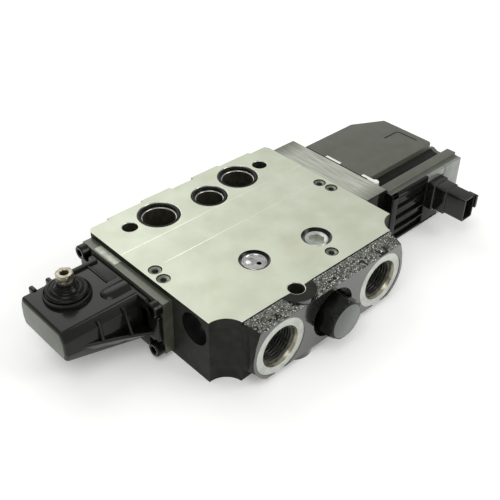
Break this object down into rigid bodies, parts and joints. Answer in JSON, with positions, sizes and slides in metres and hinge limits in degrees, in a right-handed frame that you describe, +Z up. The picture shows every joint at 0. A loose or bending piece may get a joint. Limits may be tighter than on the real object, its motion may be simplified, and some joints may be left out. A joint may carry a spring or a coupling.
{
  "type": "hydraulic directional valve section",
  "caption": "Stackable load-sensing spool valve section with threaded work ports, a lever stub in a black cover at one end and an electrical actuator with a plug shell at the other.",
  "frame": {"origin": "on the lower stacking face, under the spool axis, at the middle of the body", "axes": "+X along the spool towards the electrical actuator, -Y towards the work ports, +Z up through the stack"},
  "size_m": [0.3321, 0.1605, 0.0592],
  "materials": {
    "cast_iron": "gloss black paint on cast iron, machined stacking faces",
    "black_rubber": "matt",
    "dark_steel": "blackened steel",
    "bright_steel": "ground steel",
    "painted_steel": "gloss black paint on steel",
    "spring_steel": "oiled spring wire",
    "painted_plate": "dark satin olive grey",
    "black_screws": "black oxide",
    "label": "pale film",
    "painted_cover": "gloss black paint",
    "plated_steel": "nickel plated",
    "aluminium_block": "milled",
    "zinc_screws": "zinc plated",
    "brass_parts": "turned",
    "moulded_housing": "moulded black",
    "white_frame": "moulded white",
    "coil_resin": "potting resin",
    "board": "solder resist",
    "gloss_housing": "gloss black"
  },
  "bodies": {
    "root": {"valve_body": "cast_iron", "gallery_seals": "black_rubber", "set_screws": "dark_steel", "check_plug": "dark_steel", "shuttle_disc": "bright_steel", "relief_cartridge_left": "dark_steel", "relief_cartridge_right": "dark_steel", "compensator_plug": "painted_steel", "plug_seal": "black_rubber", "compensator_spring": "spring_steel", "spring_anchor": "spring_steel", "centring_spring": "spring_steel", "adapter_plate": "painted_plate", "plate_seal": "black_rubber", "plate_screws": "black_screws", "housing_screws": "black_screws", "label_plate": "label", "lever_housing": "painted_cover", "lever_pivot_pin": "bright_steel", "lever_boot": "black_rubber", "actuator_block": "aluminium_block", "block_seal": "black_rubber", "block_screws": "zinc_screws", "block_end_plug": "black_screws", "pilot_filter": "brass_parts", "actuator_housing": "moulded_housing", "housing_gasket": "black_rubber", "insulating_frame": "white_frame", "actuator_screws": "zinc_screws", "sensor_coil": "coil_resin", "solenoid_coils": "coil_resin", "circuit_board": "board", "connector_shell": "gloss_housing", "connector_pins": "brass_parts"},
    "spool": {"main_spool": "bright_steel", "spool_link": "bright_steel", "spring_stem": "bright_steel", "spring_seat": "spring_steel", "sensor_core": "bright_steel"},
    "lever": {"lever_stub": "plated_steel", "lever_nut": "black_screws"},
    "compensator": {"compensator_spool": "bright_steel"},
    "shuttle": {"shuttle_ball": "bright_steel"},
    "relief_left": {"relief_poppet_left": "bright_steel"},
    "relief_right": {"relief_poppet_right": "bright_steel"},
    "plunger_front": {"solenoid_plunger_front": "bright_steel"},
    "plunger_rear": {"solenoid_plunger_rear": "bright_steel"}
  },
  "joints": [
    {"name": "spool_slide", "type": "slide", "parent": "root", "child": "spool", "axis": [1, 0, 0], "range_m": [-0.0066, 0.0066], "stiffness_N_per_m": 12000, "deforming": ["centring_spring"]},
    {"name": "lever_swing", "type": "hinge", "parent": "root", "child": "lever", "pos_m": [-0.123, 0.006, 0.04264], "axis": [0, 1, 0], "range_deg": [-19.6, 19.6]},
    {"name": "compensator_slide", "type": "slide", "parent": "root", "child": "compensator", "axis": [0, -1, 0], "range_m": [0, 0.005], "stiffness_N_per_m": 2500, "deforming": ["compensator_spring"]},
    {"name": "shuttle_lift", "type": "slide", "parent": "root", "child": "shuttle", "axis": [0, 0, 1], "range_m": [0, 0.001]},
    {"name": "relief_left_lift", "type": "slide", "parent": "root", "child": "relief_left", "axis": [-1, 0, 0], "range_m": [0, 0.002], "stiffness_N_per_m": 400},
    {"name": "relief_right_lift", "type": "slide", "parent": "root", "child": "relief_right", "axis": [1, 0, 0], "range_m": [0, 0.002], "stiffness_N_per_m": 400},
    {"name": "plunger_front_pull", "type": "slide", "parent": "root", "child": "plunger_front", "axis": [1, 0, 0], "range_m": [0, 0.0008], "stiffness_N_per_m": 400},
    {"name": "plunger_rear_pull", "type": "slide", "parent": "root", "child": "plunger_rear", "axis": [1, 0, 0], "range_m": [0, 0.0008], "stiffness_N_per_m": 400}
  ],
  "couplings": [
    {"joint": "lever_swing", "follows": "spool_slide", "rad_per_m": -51.566}
  ]
}
